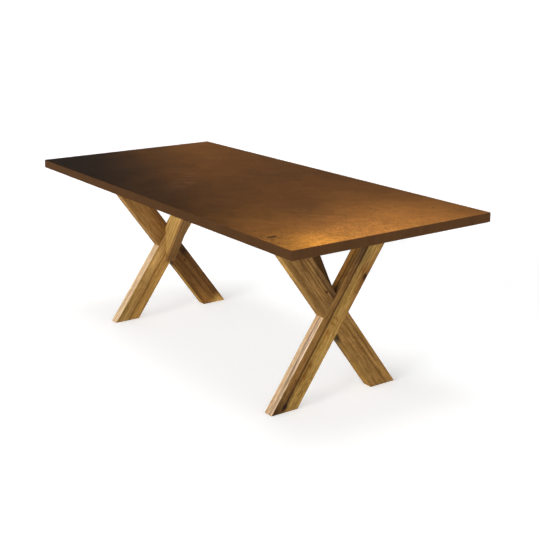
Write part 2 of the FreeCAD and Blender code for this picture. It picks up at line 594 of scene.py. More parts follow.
@dataclass(frozen=True)
class BeamPlan:
    """The places on one beam and its main grain patterns, as its bench reads them."""

    bench: Bench
    place: Socket
    along: Reading
    across: Reading
    thick: Reading
    broad: Reading
    streak: Reading
    fine: Reading
    on_side: Reading


@dataclass(frozen=True)
class OakBeam:
    """Oiled oak, glued up of strips, with its grain along the beam."""

    name: str
    centre: Triple
    turn: Triple
    run: GrainRun
    staves: tuple[Stave, ...]
    seed: float
    upper_side: SideTone | None = None
    lower_side: SideTone | None = None
    low_share: Tint = EVEN
    high_share: Tint = EVEN
    lines: tuple[DarkLine, ...] = ()
    side_seams: tuple[DarkLine, ...] = ()
    knots: tuple[Knot, ...] = ()
    stains: tuple[StainAndPaintedLight, ...] = ()
    figure: float = 0.3
    rings: float = 0.6
    contrast: float = 1.0
    half_width: float = LEG_HALF_WIDTH

    def make(self) -> bpy.types.Material:
        """Makes the beam's own finish.

        Returns:
            The material.
        """
        material, bench = new_bench(self.name)
        plan = self.plan(bench)
        fleck = self.grain(bench, plan.place, FLECK)
        pores = self.grain(bench, plan.place, PORE).fade(0.56, 0.66) * 0.5
        light = plan.streak.fade(0.37, 0.63) * 0.36 + plan.fine.fade(0.39, 0.61) * 0.36
        light = light + fleck.fade(0.36, 0.64) * 0.16 + plan.broad.fade(0.32, 0.68) * 0.12

        dark_share, light_share = self.grain_tints()
        colour = bench.tinted(self.glued_up(plan), bench.blend(light, dark_share, light_share))
        colour = bench.tinted(self.figured(plan, colour), PORE_TINT, pores)
        colour = self.lined(plan, self.lay_stains_and_painted_light(plan, colour))
        bench.surface({
            "Base Color": self.knotted(plan, colour),
            "Roughness": 0.7 - light * 0.12 + pores * 0.25,
            "Specular IOR Level": 0.1,
            "Normal": bench.relief(plan.fine * 0.5 + plan.streak * 0.3 - pores, 0.25, 0.0006),
        })
        return material

    def plan(self, bench: Bench) -> BeamPlan:
        """Reads the places and the grain that the beam's looks are laid out by.

        Args:
            bench: The beam's bench.

        Returns:
            The readings.
        """
        place = bench.seen_from(bench.place(), self.centre, self.turn)
        first, second, across = bench.parts(place)
        along, thick = (first, second) if self.run is GrainRun.ALONG_X else (second, first)
        broad, streak, fine = (self.grain(bench, place, pattern) for pattern in (BROAD, STREAK, FINE))
        on_side = across.fade(self.half_width - TURN_START, self.half_width - TURN_END)
        return BeamPlan(bench, place, along, across, thick, broad, streak, fine, on_side)

    def grain(self, bench: Bench, place: Socket, pattern: Pattern) -> Reading:
        """Adds a pattern drawn out along the grain.

        Args:
            bench: The beam's bench.
            place: The place in the beam's own axes.
            pattern: The pattern.

        Returns:
            What it reads at the place.
        """
        scale = self.run.axes(pattern.along, pattern.across, pattern.across)
        stretched = bench.stretched(place, scale, self.seed + pattern.shift)
        return bench.noise(stretched, detail=pattern.detail, swirl=pattern.swirl)

    def grain_tints(self) -> tuple[Tint, Tint]:
        """Works out how far the grain swings about the colour.

        Returns:
            What the darkest and the lightest grain keep of it.
        """
        reach = GRAIN_SWING * self.contrast
        dark = Tint(1.0 - 0.9 * reach, 1.0 - 1.05 * reach, 1.0 - 1.3 * reach)
        return dark, Tint(1.0 + 0.8 * reach, 1.0 + 0.9 * reach, 1.0 + 1.1 * reach)

    def glued_up(self, plan: BeamPlan) -> Paint:
        """Lays the strips side by side, with the colours of the narrow sides.

        Args:
            plan: The beam's readings.

        Returns:
            The colour of the bare strips.
        """
        bench = plan.bench
        wandering = plan.across + (plan.broad - 0.5) * 0.004
        colour: Paint = self.staves[0].tone
        for low, high in zip(self.staves[:-1], self.staves[1:]):
            share = wandering.fade(low.ends - JOINT_BLUR, low.ends + JOINT_BLUR)
            colour = bench.blend(share, colour, high.tone)
        # The colour is tinted from low_share at the foot to high_share at the head; on the rear right leg
        # and the rear brace this is painted shade low down and painted light at the head.
        climb = plan.along.fade(-CLIMB_REACH, CLIMB_REACH)
        colour = bench.tinted(colour, bench.blend(climb, self.low_share, self.high_share))
        # The narrow sides: on the legs partly painted light below the crossing and painted shade under the
        # top above it; on the front brace painted shade.
        on_lower = plan.across.fade(TURN_START - self.half_width, TURN_END - self.half_width)
        for side, mask in ((self.upper_side, plan.on_side), (self.lower_side, on_lower)):
            if side is not None:
                colour = bench.blend(mask, colour, bench.blend(climb, side.low, side.high))
        return colour

    def figured(self, plan: BeamPlan, colour: Paint) -> Socket:
        """Draws the year rings: dark lines along the grain, and loops where they run out of the face.

        Args:
            plan: The beam's readings.
            colour: The colour so far.

        Returns:
            The colour with the rings.
        """
        bench = plan.bench
        ring = self.grain(bench, plan.place, RING)
        broken = plan.fine.fade(0.35, 0.6) * 0.6 + 0.4
        near_ring = ((ring * RING_TURNS).wave() * 0.5 + 0.5) ** 2.5 * broken
        colour = bench.tinted(colour, RING_TINT, near_ring * self.rings * self.contrast)
        loop = self.grain(bench, plan.place, LOOP)
        near_loop = ((loop * LOOP_TURNS).wave() * 0.5 + 0.5) ** 2.0 * loop.fade(0.42, 0.62)
        return bench.tinted(colour, LOOP_TINT, near_loop * self.figure)

    def lay_stains_and_painted_light(self, plan: BeamPlan, colour: Paint) -> Paint:
        """Lays on the stains and the painted shade and highlights, which stay off the upper narrow side
        unless they lie on it.

        Args:
            plan: The beam's readings.
            colour: The colour so far.

        Returns:
            The colour with the stains.
        """
        bench, axes = plan.bench, self.run.axes
        swirled = bench.drifted(plan.place, axes(16.0, 70.0, 70.0), self.seed, axes(0.03, 0.0, 0.009))
        off_side = 1.0 - plan.on_side
        for stain in self.stains:
            centre = axes(stain.along, stain.thick, stain.across)
            reach = axes(stain.reach_along, stain.reach_thick, stain.reach_across)
            mask = bench.patch(swirled, centre, reach)
            if stain.across < self.half_width:
                mask = mask * off_side
            colour = bench.tinted(colour, stain.tint, mask)
        return colour

    def lined(self, plan: BeamPlan, colour: Paint) -> Paint:
        """Draws the dark lines of the wide faces and the seams of the upper narrow side.

        Args:
            plan: The beam's readings.
            colour: The colour so far.

        Returns:
            The colour with the lines.
        """
        wander = plan.broad - 0.5
        line_share = (1.0 - plan.on_side) * (plan.streak.fade(0.3, 0.55) * 0.25 + 0.75)
        seam_share = plan.on_side * (plan.streak.fade(0.3, 0.6) * 0.45 + 0.55)
        kinds = (
            (self.lines, plan.across + wander * 0.006, line_share, LINE_TINT),
            (self.side_seams, plan.thick + wander * 0.012, seam_share, SEAM_TINT),
        )
        for lines, across, share, tint in kinds:
            for line in lines:
                off = (across - plan.along * line.drift - line.place).size()
                colour = plan.bench.tinted(colour, tint, line.strength(off, plan.along) * share)
        return colour

    def knotted(self, plan: BeamPlan, colour: Paint) -> Paint:
        """Draws the knots, a little longer than wide.

        Args:
            plan: The beam's readings.
            colour: The colour so far.

        Returns:
            The colour with the knots.
        """
        for knot in self.knots:
            far_along = (plan.along - knot.along) * KNOT_SQUEEZE
            far_across = plan.across - knot.across + (plan.fine - 0.5) * 0.008
            far = (far_along * far_along + far_across * far_across).root()
            mask = far.fade(knot.radius, knot.radius * 0.35) * knot.depth
            colour = plan.bench.tinted(colour, KNOT_TINT, mask)
        return colour


@dataclass(frozen=True)
class Mark:
    """A dark mark on the sheet: its place, its radius and how dark it is."""

    x: float
    y: float
    radius: float
    depth: float = 0.8


class Cover(Enum):
    """What breaks up a glow in the sheet: nothing, the wiped streaks or the finest speckle."""

    OPEN = 0
    STREAKED = 1
    SPECKLED = 2


@dataclass(frozen=True)
class Glow:
    """A soft patch in the sheet: its middle, reach and turn, its colour, and how that is laid on."""

    x: float
    y: float
    reach_x: float
    reach_y: float
    turn: float
    colour: Tint
    how: Blend = Blend.ADD
    cover: Cover = Cover.OPEN


@dataclass(frozen=True)
class PatinaSheet:
    """Patinated metal sheet: nearly black at the far left, brown in the middle, and golden at the near end
    under a painted highlight with painted glints.
    """

    name: str = "patina_sheet"
    black: Tone = Tone(45, 37, 32)
    brown: Tone = Tone(96, 64, 41)
    grazing: Tint = Tint(0.4, 0.39, 0.36)
    dark_patch: Tint = Tint(0.7, 0.72, 0.78)
    light_patch: Tint = Tint(1.31, 1.3, 1.28)
    wipe_turn: float = 0.93
    browning: Triple = (0.48, 1.17, 0.8)
    mark_fray: float = 0.014
    glows: tuple[Glow, ...] = (
        Glow(-1.05, 0.36, 0.91, 0.26, -0.46, Tint(0.07, 0.026, 0.004)),
        # This glow and the three after it are a painted highlight on the near end: the golden glow, two
        # darker trims, and the hot spot by the corner.
        Glow(1.1, -0.09, 0.53, 0.46, -0.65, Tint(0.4, 0.166, 0.036)),
        Glow(0.65, -0.09, 0.3, 0.13, -0.26, Tint(0.075, 0.03, 0.004), Blend.TAKE),
        Glow(0.74, -0.27, 0.17, 0.11, -0.4, Tint(0.035, 0.016, 0.004), Blend.TAKE),
        Glow(1.0, -0.34, 0.14, 0.11, -0.68, Tint(0.33, 0.15, 0.014)),
        Glow(-0.95, 0.02, 0.12, 0.1, -0.4, Tint(0.022, 0.008, 0.0)),
        Glow(-0.21, -0.13, 0.11, 0.045, -0.7, Tint(0.045, 0.022, 0.011), cover=Cover.STREAKED),
        Glow(-0.09, -0.26, 0.1, 0.05, -0.7, Tint(0.036, 0.02, 0.011), cover=Cover.STREAKED),
        Glow(-0.44, -0.09, 0.1, 0.06, -0.6, Tint(0.03, 0.013, 0.005), cover=Cover.STREAKED),
        # Painted glints over the near end, broken up by the finest speckle.
        Glow(1.0, -0.22, 0.18, 0.32, 0.0, Tint(0.31, 0.175, 0.04), cover=Cover.SPECKLED),
    )
    marks: tuple[Mark, ...] = (
        Mark(0.822, -0.414, 0.015),
        Mark(0.8215, -0.403, 0.013),
        Mark(0.821, -0.391, 0.016),
        Mark(0.852, -0.422, 0.013, 0.35),
        Mark(0.851, -0.394, 0.008, 0.5),
    )

    def make(self) -> bpy.types.Material:
        """Makes the sheet's finish.

        Returns:
            The material.
        """
        material, bench = new_bench(self.name)
        place = bench.place()
        x, y, _ = bench.parts(place)
        cloud = bench.noise(place, 2.6, 5.0, 0.6, 0.5)
        blotch = bench.noise(place, 9.0, 4.0, 0.55, 0.3)
        mottle = bench.noise(place, 34.0, 3.0, 0.6)
        speckle = bench.noise(bench.stretched(place, (150.0, 110.0, 1.0), 0.3), detail=3.0, rough=0.65)
        wiped = bench.seen_from(place, (0.0, 0.0, 0.0), (0.0, 0.0, self.wipe_turn))
        streak = bench.noise(bench.stretched(wiped, (10.0, 40.0, 1.0), 2.1), detail=3.0, rough=0.6)

        haze = (cloud - 0.5) * 0.3 + (blotch - 0.5) * 0.15
        by_x, by_y, at_middle = self.browning
        browned = (x * by_x + y * by_y + at_middle + haze).fade(0.0, 1.0)
        colour: Paint = bench.blend(browned, self.black, self.brown)
        colour = self.glowing(bench, colour, speckle, streak)
        share = cloud.fade(0.3, 0.7) * 0.2 + blotch.fade(0.3, 0.7) * 0.16 + streak.fade(0.34, 0.66) * 0.2
        share = share + mottle.fade(0.34, 0.66) * 0.26 + speckle.fade(0.32, 0.68) * 0.18
        colour = bench.tinted(colour, bench.blend(share, self.dark_patch, self.light_patch))

        colour = self.specks(bench, colour, place, x)
        for mark in self.marks:
            off_x = x - mark.x
            off_y = y - mark.y
            far = (off_x * off_x + off_y * off_y).root() + (speckle - 0.5) * self.mark_fray
            colour = bench.blend(far.fade(mark.radius, mark.radius * 0.3) * mark.depth, colour, self.black)

        bench.surface({
            "Base Color": colour,
            "Metallic": 1.0,
            "Roughness": 0.6 + (cloud - 0.5) * 0.2 + (mottle - 0.5) * 0.15,
            "Specular Tint": self.grazing,
            "Normal": bench.relief(mottle * 0.6 + speckle * 0.4, 0.06, 0.0008),
        })
        return material

    def glowing(self, bench: Bench, colour: Paint, speckle: Reading, streak: Reading) -> Paint:
        """Lays on the soft patches, some of them broken up, as the painted glints at the near end are.

        Args:
            bench: The sheet's bench.
            colour: The colour so far.
            speckle: The finest grain.
            streak: The wiped streaks.

        Returns:
            The colour with the patches.
        """
        swirled = bench.drifted(bench.place(), (4.0, 4.0, 4.0), 0.6, (0.1, 0.1, 0.0))
        shown = {Cover.STREAKED: streak.fade(0.45, 0.6), Cover.SPECKLED: speckle.fade(0.51, 0.65)}
        for glow in self.glows:
            middle = (glow.x, glow.y, TOP_LEVEL)
            share = bench.patch(swirled, middle, (glow.reach_x, glow.reach_y, 1.0), glow.turn)
            if glow.cover in shown:
                share = share * shown[glow.cover]
            colour = bench.blend(share, colour, glow.colour, glow.how)
        return colour

    def specks(self, bench: Bench, colour: Paint, place: Socket, x: Reading) -> Paint:
        """Scatters small dark specks, most of them towards the near end.

        Args:
            bench: The sheet's bench.
            colour: The colour so far.
            place: The place on the sheet.
            x: The place along the table.

        Returns:
            The colour with the specks.
        """
        near_end = x.fade(0.2, 0.6) * x.fade(0.985, 0.95) * 0.6
        for scale, rare, radius in ((22.0, 0.86, 0.13), (46.0, 0.9, 0.16)):
            distance, own = bench.spots(place, scale)
            chosen = own.fade(rare, rare + 0.03) * near_end
            colour = bench.blend(distance.fade(radius, radius * 0.5) * chosen, colour, self.black)
        return colour


@dataclass(frozen=True)
class PatinaEdge:
    """The edge bands of the same metal, an even dark brown with faint upright streaks."""

    name: str = "patina_edge"
    brown: Tone = Tone(83, 57, 35)
    grazing: Tint = Tint(0.7, 0.6, 0.54)

    def make(self) -> bpy.types.Material:
        """Makes the bands' finish.

        Returns:
            The material.
        """
        material, bench = new_bench(self.name)
        place = bench.place()
        streak = bench.noise(bench.stretched(place, (70.0, 70.0, 3.0), 0.4), detail=3.0)
        cloud = bench.noise(place, 7.0, 4.0, 0.55)
        dark, light = Tint(0.86, 0.87, 0.9), Tint(1.14, 1.13, 1.1)
        bench.surface({
            "Base Color": bench.mottled(self.brown, streak, cloud, dark, light),
            "Metallic": 1.0,
            "Roughness": 0.46 + (streak - 0.5) * 0.2,
            "Specular Tint": self.grazing,
            "Normal": bench.relief(streak, 0.05, 0.0006),
        })
        return material


@dataclass(frozen=True)
class SpeckledSheet:
    """A dull board or felt with a fine speckle: the backing, the core and the glides."""

    name: str
    tone: Tone
    scale: float
    roughness: float
    bump: float

    def make(self) -> bpy.types.Material:
        """Makes the finish.

        Returns:
            The material.
        """
        material, bench = new_bench(self.name)
        place = bench.place()
        cloud = bench.noise(place, 6.0, 3.0)
        speckle = bench.noise(place, self.scale, 3.0, 0.6)
        dark, light = Tint(0.78, 0.78, 0.78), Tint(1.22, 1.22, 1.22)
        bench.surface({
            "Base Color": bench.mottled(self.tone, cloud, speckle, dark, light),
            "Roughness": self.roughness + (speckle - 0.5) * 0.2,
            "Specular IOR Level": 0.25,
            "Normal": bench.relief(speckle, self.bump, 0.0005),
        })
        return material


@dataclass(frozen=True)
class PlatedMetal:
    """Plated fixings with fine scratches."""

    name: str
    tone: Tone
    roughness: float

    def make(self) -> bpy.types.Material:
        """Makes the finish.

        Returns:
            The material.
        """
        material, bench = new_bench(self.name)
        place = bench.place()
        scratch = bench.noise(bench.stretched(place, (900.0, 900.0, 60.0), 1.3), detail=2.0)
        cloud = bench.noise(place, 60.0, 3.0)
        dark, light = Tint(0.85, 0.85, 0.85), Tint(1.12, 1.12, 1.12)
        bench.surface({
            "Base Color": bench.mottled(self.tone, scratch, cloud, dark, light),
            "Metallic": 1.0,
            "Roughness": self.roughness + (scratch - 0.5) * 0.2,
            "Normal": bench.relief(scratch, 0.05, 0.0002),
        })
        return material


def dress(node: str, material: bpy.types.Material) -> None:
    """Gives a node of the solids its finish.

    Args:
        node: The node's name.
        material: Its material.
    """
    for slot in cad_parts[node].material_slots:
        slot.material = material
    log.info("%s: %s", node, material.name)


class Lean(Enum):
    """Which foot a leg stands on, as its turn about X."""

    LEFT_FOOT = LEG_SLOPE
    RIGHT_FOOT = math.pi - LEG_SLOPE


class End(Enum):
    """Which end of the table a frame is at, as the sign of its X."""

    FRONT = 1.0
    REAR = -1.0


@dataclass
class TableTop:
    """The top: its face sheet, edge bands, core and backing."""

    bands: tuple[str, ...] = ("edge_band_front", "edge_band_right", "edge_band_rear", "edge_band_left")
    core: Tone = Tone(150, 120, 84)
    backing: Tone = Tone(74, 56, 42)

    def dress(self) -> None:
        """Finishes each layer of the top."""
        dress("top_face_sheet", PatinaSheet().make())
        edge = PatinaEdge().make()
        for band in self.bands:
            dress(band, edge)
        dress("top_core_board", SpeckledSheet("core_board", self.core, 260.0, 0.8, 0.2).make())
        dress("top_backing_sheet", SpeckledSheet("backing_sheet", self.backing, 180.0, 0.65, 0.12).make())


@dataclass
class LegFrame:
    """One crossed frame: its two legs."""

    end: End
    left: OakBeam
    right: OakBeam

    def dress(self) -> None:
        """Finishes both legs."""
        word = self.end.name.lower()
        dress(f"{word}_leg_left", self.left.make())
        dress(f"{word}_leg_right", self.right.make())


def leg_oak(end: End, lean: Lean, staves: tuple[Stave, ...], **looks: Any) -> OakBeam:
    """Lays out the oak of one leg about the crossing of its frame.

    Args:
        end: The end of the table that its frame is at.
        lean: The foot that it stands on.
        staves: Its strips, from the lower side of the beam up.
        looks: The leg's other looks, as OakBeam takes them.

    Returns:
        The leg's finish.
    """
    name = f"{end.name}_{lean.name}_oak".lower()
    centre = (end.value * FRAME_X, 0.0, CROSSING_HEIGHT)
    return OakBeam(name, centre, (lean.value, 0.0, 0.0), GrainRun.ALONG_Y, staves, **looks)


def front_frame() -> LegFrame:
    """Lays out the frame at the near end.

    Returns:
        The frame.
    """
    rust = Tint(0.7, 0.52, 0.36)
    shade = Tint(0.55, 0.54, 0.56)
    left = leg_oak(
        End.FRONT,
        Lean.LEFT_FOOT,
        (Stave(0.0175, Tone(160, 127, 67)), Stave(0.06, Tone(132, 96, 49))),
        seed=1.0,
        # Upper side: pale below the crossing, painted light; brown above it, painted shade under the top.
        upper_side=SideTone(Tone(178, 152, 121), Tone(160, 115, 55)),
        lower_side=SideTone(Tone(140, 104, 54), Tone(140, 104, 54)),
        lines=(
            DarkLine(0.0168, 0.008, 0.0072, 1.0),
            DarkLine(0.03, 0.02, 0.004, 0.5, 0.1),
            DarkLine(0.027, -0.01, 0.005, 0.7, 0.22),
            DarkLine(-0.021, 0.01, 0.0025, 0.35),
            DarkLine(0.048, 0.0, 0.003, 0.8, 0.04, 0.26),
        ),
        side_seams=(
            DarkLine(0.0, -0.022, 0.006, 0.6, -1.0, -0.03),
            DarkLine(0.0015, -0.022, 0.0045, 1.0, -0.33, -0.22),
            DarkLine(0.003, 0.012, 0.0075, 1.0, 0.08, 1.0),
            DarkLine(-0.009, 0.01, 0.003, 0.3),
        ),
        knots=(Knot(-0.397, 0.0125, 0.015, 1.0), Knot(0.184, -0.037, 0.013, 1.0)),
        stains=(
            StainAndPaintedLight(-0.2, 0.007, 0.35, 0.012, Tint(0.8, 0.76, 0.68)),
            StainAndPaintedLight(-0.034, -0.01, 0.004, 0.018, rust),
            StainAndPaintedLight(-0.012, -0.011, 0.004, 0.022, rust),
            StainAndPaintedLight(-0.075, -0.004, 0.02, 0.009, rust),
            StainAndPaintedLight(-0.215, -0.004, 0.014, 0.014, rust),
            StainAndPaintedLight(-0.262, -0.002, 0.02, 0.01, rust),
            # The next four darken the foot: painted shade where the leg meets the floor.
            StainAndPaintedLight(-0.365, 0.009, 0.035, 0.007, shade),
            StainAndPaintedLight(-0.42, 0.036, 0.08, 0.018, Tint(0.36, 0.35, 0.33)),
            StainAndPaintedLight(-0.45, 0.036, 0.035, 0.02, Tint(0.4, 0.36, 0.3)),
            StainAndPaintedLight(-0.4, 0.006, 0.03, 0.012, Tint(0.6, 0.6, 0.6)),
            StainAndPaintedLight(-0.265, 0.036, 0.04, 0.014, Tint(1.17, 1.17, 1.15)),
            StainAndPaintedLight(-0.26, 0.0, 0.05, 0.014, Tint(0.87, 0.85, 0.78)),
            StainAndPaintedLight(-0.09, -0.015, 0.028, 0.03, Tint(1.2, 1.22, 1.2)),
            StainAndPaintedLight(-0.01, 0.036, 0.05, 0.014, Tint(0.84, 0.84, 0.84)),
            # The next two darken the head: painted shade under the top.
            StainAndPaintedLight(0.24, 0.002, 0.07, 0.014, Tint(0.72, 0.72, 0.76)),
            StainAndPaintedLight(0.29, 0.036, 0.1, 0.022, Tint(0.42, 0.42, 0.5)),
            StainAndPaintedLight(0.17, -0.036, 0.14, 0.018, Tint(0.8, 0.68, 0.66)),
            StainAndPaintedLight(0.205, -0.016, 0.022, 0.014, Tint(0.7, 0.54, 0.4)),
            StainAndPaintedLight(0.16, -0.036, 0.03, 0.012, Tint(0.8, 0.7, 0.6)),
            StainAndPaintedLight(0.1, -0.047, 0.12, 0.008, Tint(0.78, 0.66, 0.55)),
            # On the upper narrow side: near-black in the crossing, painted shade; darker higher up, painted
            # shade under the top.
            StainAndPaintedLight(0.06, 0.0495, 0.045, 0.004, Tint(0.06, 0.05, 0.05), 0.014, 0.014),
            StainAndPaintedLight(0.17, 0.0495, 0.12, 0.004, Tint(0.36, 0.36, 0.42), 0.018, 0.009),
            # Lighter and cooler lower narrow side: painted sheen of the light from the left.
            StainAndPaintedLight(-0.25, 0.0495, 0.3, 0.004, Tint(1.13, 1.2, 1.36), 0.021, 0.005),
            StainAndPaintedLight(-0.13, 0.0495, 0.11, 0.004, Tint(0.8, 0.82, 0.95), 0.006, 0.007),
            StainAndPaintedLight(-0.2, 0.0495, 0.3, 0.004, Tint(1.0, 0.97, 0.86), -0.012, 0.008),
        ),
        figure=0.6,
        rings=0.4,
        contrast=1.25,
    )
    right = leg_oak(
        End.FRONT,
        Lean.RIGHT_FOOT,
        (
            Stave(-0.02, Tone(147, 110, 59)),
            Stave(0.02, Tone(138, 102, 54)),
            Stave(0.06, Tone(139, 104, 55)),
        ),
        seed=4.0,
        upper_side=SideTone(Tone(143, 106, 42), Tone(121, 89, 40)),
        lower_side=SideTone(Tone(128, 93, 48), Tone(128, 93, 48)),
        low_share=Tint(0.95, 0.95, 0.9),
        high_share=Tint(0.88, 0.88, 0.86),
        lines=(
            DarkLine(-0.031, 0.0, 0.005, 0.7, -0.3),
            DarkLine(-0.008, 0.015, 0.0045, 0.45),
            DarkLine(0.014, -0.01, 0.0035, 0.5, -0.1),
            DarkLine(0.026, 0.01, 0.003, 0.45),
            DarkLine(-0.021, 0.02, 0.003, 0.5, 0.0),
        ),
        knots=(Knot(0.107, -0.0215, 0.0065, 0.9),),
        stains=(
            # The next three darken the upper right margin: painted shadow of the brace.
            StainAndPaintedLight(0.15, -0.044, 0.16, 0.009, Tint(0.6, 0.58, 0.6)),
            StainAndPaintedLight(0.06, -0.035, 0.05, 0.012, shade),
            StainAndPaintedLight(0.15, -0.034, 0.12, 0.012, Tint(0.68, 0.67, 0.74)),
            StainAndPaintedLight(-0.05, -0.036, 0.04, 0.012, Tint(1.16, 1.18, 1.3)),
            StainAndPaintedLight(0.15, 0.036, 0.16, 0.014, Tint(0.88, 0.88, 0.9)),
            StainAndPaintedLight(0.06, 0.0, 0.03, 0.014, Tint(0.78, 0.78, 0.78)),
            StainAndPaintedLight(0.16, 0.0, 0.03, 0.012, Tint(1.15, 1.16, 1.18)),
            StainAndPaintedLight(0.27, 0.0, 0.04, 0.014, Tint(0.76, 0.76, 0.76)),
            StainAndPaintedLight(-0.32, 0.036, 0.1, 0.014, Tint(0.92, 0.92, 0.9)),
            # The next two are near-black in the crotch on the narrow side: painted shade.
            StainAndPaintedLight(-0.08, 0.0495, 0.03, 0.004, Tint(0.08, 0.07, 0.06)),
            StainAndPaintedLight(-0.075, 0.045, 0.02, 0.008, Tint(0.3, 0.28, 0.26)),
            # A bright streak on the upper narrow side: painted highlight.
            StainAndPaintedLight(0.31, 0.0495, 0.11, 0.004, Tint(1.85, 2.05, 2.2), -0.006, 0.022),
            StainAndPaintedLight(0.2, 0.0475, 0.2, 0.005, Tint(0.75, 0.73, 0.7)),
        ),
        rings=0.45,
        contrast=1.3,
    )
    return LegFrame(End.FRONT, left, right)


def rear_frame() -> LegFrame:
    """Lays out the frame at the far end.

    Returns:
        The frame.
    """
    left = leg_oak(
        End.REAR,
        Lean.LEFT_FOOT,
        (
            Stave(-0.011, Tone(164, 125, 65)),
            Stave(0.003, Tone(146, 108, 56)),
            Stave(0.06, Tone(172, 135, 77)),
        ),
        seed=7.0,
        # Upper side: pale below the crossing, painted light; brown above it, painted shade under the top.
        upper_side=SideTone(Tone(189, 163, 129), Tone(150, 112, 66)),
        lower_side=SideTone(Tone(150, 112, 60), Tone(150, 112, 60)),
        lines=(DarkLine(0.04, 0.0, 0.004, 0.4),),
        side_seams=(DarkLine(-0.002, 0.0, 0.006, 0.2),),
        stains=(
            StainAndPaintedLight(-0.24, -0.004, 0.05, 0.006, Tint(0.62, 0.56, 0.5)),
            StainAndPaintedLight(-0.15, 0.004, 0.06, 0.005, Tint(0.75, 0.7, 0.65)),
            StainAndPaintedLight(-0.4, 0.036, 0.09, 0.018, Tint(0.66, 0.65, 0.6)),
            StainAndPaintedLight(-0.13, 0.036, 0.09, 0.016, Tint(1.34, 1.36, 1.42)),
            StainAndPaintedLight(-0.37, 0.0, 0.1, 0.014, Tint(0.76, 0.75, 0.74)),
            StainAndPaintedLight(-0.09, 0.0, 0.06, 0.012, Tint(1.3, 1.3, 1.3)),
            StainAndPaintedLight(-0.15, -0.034, 0.07, 0.014, Tint(1.18, 1.18, 1.16)),
        ),
        contrast=1.1,
    )
    right = leg_oak(
        End.REAR,
        Lean.RIGHT_FOOT,
        (Stave(-0.026, Tone(109, 74, 38)), Stave(0.06, Tone(120, 83, 42))),
        seed=10.0,
        upper_side=SideTone(Tone(147, 110, 40), Tone(131, 96, 44)),
        lower_side=SideTone(Tone(120, 85, 45), Tone(120, 85, 45)),
        # Painted shadow of the brace and the other leg darkens the leg below the crossing, and painted
        # light lifts its head under the top.
        low_share=Tint(0.75, 0.73, 0.62),
        high_share=Tint(1.37, 1.43, 1.48),
        lines=(
            DarkLine(0.004, 0.0, 0.005, 0.45, -0.36, -0.02),
            DarkLine(-0.024, 0.0, 0.004, 0.4, -0.36, -0.02),
        ),
        knots=(Knot(-0.1215, -0.0105, 0.0075, 0.6),),
        stains=(
            # The next four light the foot: a painted highlight.
            StainAndPaintedLight(-0.445, -0.04, 0.04, 0.026, Tint(4.0, 5.0, 5.8)),
            StainAndPaintedLight(-0.42, -0.018, 0.03, 0.022, Tint(1.95, 2.2, 2.3)),
            StainAndPaintedLight(-0.405, 0.0, 0.016, 0.013, Tint(1.5, 1.75, 1.95)),
            StainAndPaintedLight(-0.38, 0.026, 0.06, 0.024, Tint(1.8, 1.8, 1.7)),
            StainAndPaintedLight(0.18, 0.03, 0.15, 0.02, Tint(1.28, 1.42, 1.55)),
            # The next three are painted shadow of the brace and the left leg by the crossing, and
            # near-black painted shade in the crotch.
            StainAndPaintedLight(-0.16, 0.01, 0.1, 0.026, Tint(0.8, 0.8, 0.8)),
            StainAndPaintedLight(-0.075, -0.034, 0.032, 0.016, Tint(0.2, 0.19, 0.19)),
            StainAndPaintedLight(-0.075, 0.0495, 0.025, 0.004, Tint(0.1, 0.1, 0.1)),
        ),
        contrast=1.1,
    )
    return LegFrame(End.REAR, left, right)


@dataclass
class Bracing:
    """What ties the frames to the top: two braces, two cleats and the rail between them."""

    brace_half_depth: float = 0.05
    brace_middle: float = 0.46
    brace_height: float = 0.55
    bearer_height: float = 0.705
    bearer_tone: Tone = Tone(140, 104, 56)

    def brace_oak(self, end: End) -> OakBeam:
        """Lays out the oak of one brace.

        Args:
            end: The end of the table that it rises from.

        Returns:
            The brace's finish.
        """
        if end is End.FRONT:
            rise, seed = LEG_SLOPE - math.pi, 15.0
            staves = (Stave(0.06, Tone(132, 98, 56)),)
            # Its narrow side under the top is dark: painted shade.
            looks: dict[str, Any] = {"lower_side": SideTone(Tone(88, 62, 33), Tone(80, 56, 30))}
        else:
            rise, seed = -LEG_SLOPE, 13.0
            staves = (Stave(-0.03, Tone(132, 96, 53)), Stave(0.06, Tone(170, 134, 74)))
            # Darker towards its foot and lighter towards its head, where the lightening is painted light
            # against the top's shade.
            looks = {"low_share": Tint(0.8, 0.8, 0.79), "high_share": Tint(1.32, 1.33, 1.42)}
        return OakBeam(
            f"{end.name}_brace_oak".lower(),
            (end.value * self.brace_middle, 0.0, self.brace_height),
            (0.0, rise, 0.0),
            GrainRun.ALONG_X,
            staves,
            seed,
            contrast=0.9,
            half_width=self.brace_half_depth,
            **looks,
        )

    def dress(self) -> None:
        """Finishes the braces, the cleats and the rail."""
        for end in End:
            dress(f"{end.name.lower()}_brace", self.brace_oak(end).make())
        middle = (0.0, 0.0, self.bearer_height)
        plain = (Stave(0.1, self.bearer_tone),)
        cleat = OakBeam("cleat_oak", middle, UNTURNED, GrainRun.ALONG_Y, plain, 17.0).make()
        dress("front_cleat", cleat)
        dress("rear_cleat", cleat)
        dress("centre_rail", OakBeam("rail_oak", middle, UNTURNED, GrainRun.ALONG_X, plain, 19.0).make())


